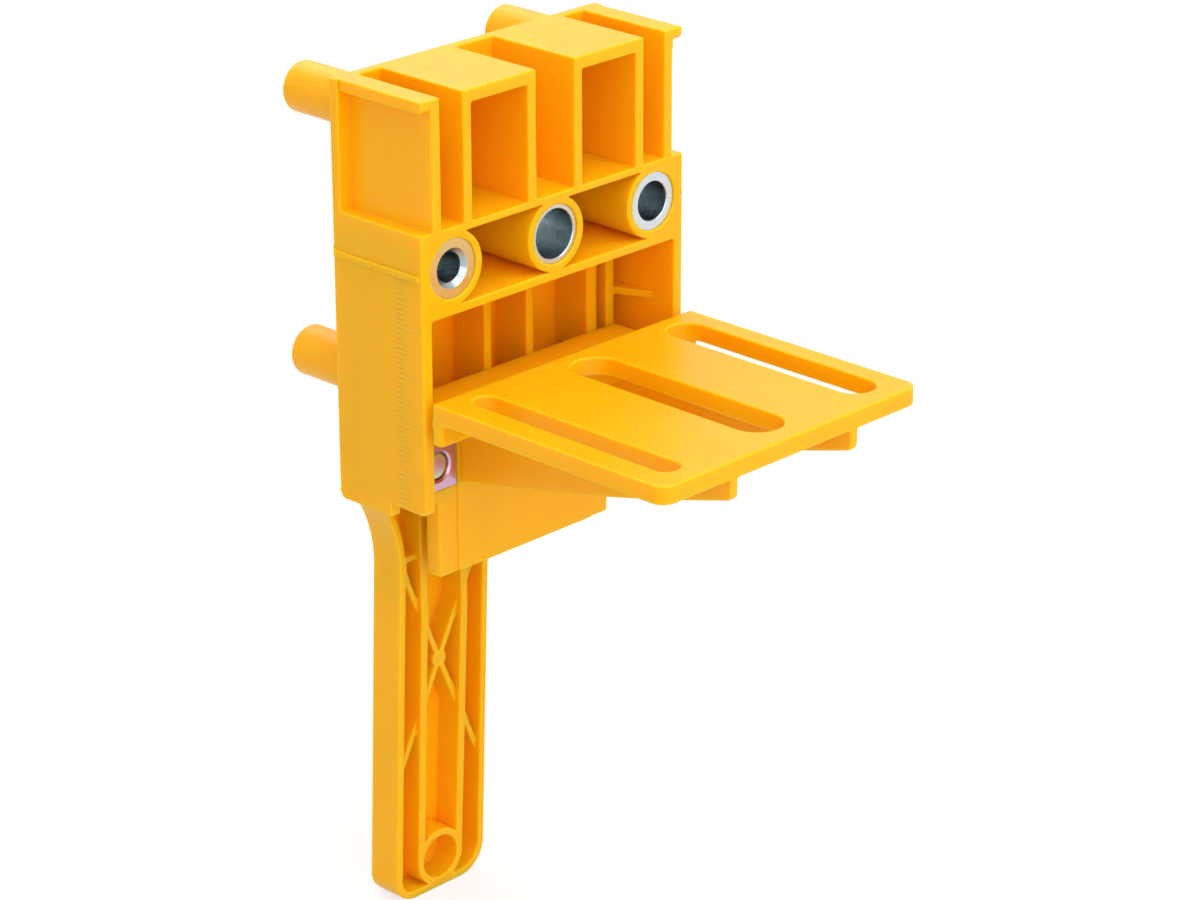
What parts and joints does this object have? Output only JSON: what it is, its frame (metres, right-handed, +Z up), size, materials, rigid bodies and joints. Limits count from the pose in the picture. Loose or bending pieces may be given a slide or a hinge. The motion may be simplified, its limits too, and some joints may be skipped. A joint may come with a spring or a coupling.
{
  "type": "dowel jig",
  "caption": "Hand-held drill guide with steel bushes, a slotted fence that slides up and down behind two lock screws, centring pegs and a moulded handle.",
  "frame": {"origin": "axis of the middle drill bush, at the working face", "axes": "+X across the jig to the right seen from the front, +Y from the working face to the back with its pegs, +Z up, away from the handle"},
  "size_m": [0.0728, 0.1046, 0.1762],
  "materials": {
    "body_plastic": "satin moulded ABS",
    "bush_steel": "bright zinc plated steel",
    "yellow_zinc": "iridescent yellow zinc plating"
  },
  "bodies": {
    "body": {"guide_body": "body_plastic", "drill_bush_6": "bush_steel", "drill_bush_10": "bush_steel", "drill_bush_8": "bush_steel"},
    "fence": {"fence": "body_plastic", "square_nuts": "yellow_zinc"},
    "washer_left": {"washer_left": "yellow_zinc"},
    "lock_screw_left": {"lock_screw_left": "yellow_zinc"},
    "washer_right": {"washer_right": "yellow_zinc"},
    "lock_screw_right": {"lock_screw_right": "yellow_zinc"}
  },
  "joints": [
    {"name": "fence_slide", "type": "slide", "parent": "body", "child": "fence", "axis": [0, 0, 1], "range_m": [-0.0014, 0.006]},
    {"name": "lock_travel_left", "type": "slide", "parent": "fence", "child": "washer_left", "axis": [0, 1, 0], "range_m": [0, 0.0015]},
    {"name": "lock_turn_left", "type": "hinge", "parent": "washer_left", "child": "lock_screw_left", "pos_m": [-0.0238, 0.0262, -0.0443], "axis": [0, 1, 0], "range_deg": [0, 540]},
    {"name": "lock_travel_right", "type": "slide", "parent": "fence", "child": "washer_right", "axis": [0, 1, 0], "range_m": [0, 0.0015]},
    {"name": "lock_turn_right", "type": "hinge", "parent": "washer_right", "child": "lock_screw_right", "pos_m": [0.0238, 0.0262, -0.0443], "axis": [0, 1, 0], "range_deg": [0, 540]}
  ],
  "couplings": [
    {"joint": "lock_turn_left", "follows": "lock_travel_left", "rad_per_m": 6282.6},
    {"joint": "lock_turn_right", "follows": "lock_travel_right", "rad_per_m": 6282.6}
  ]
}
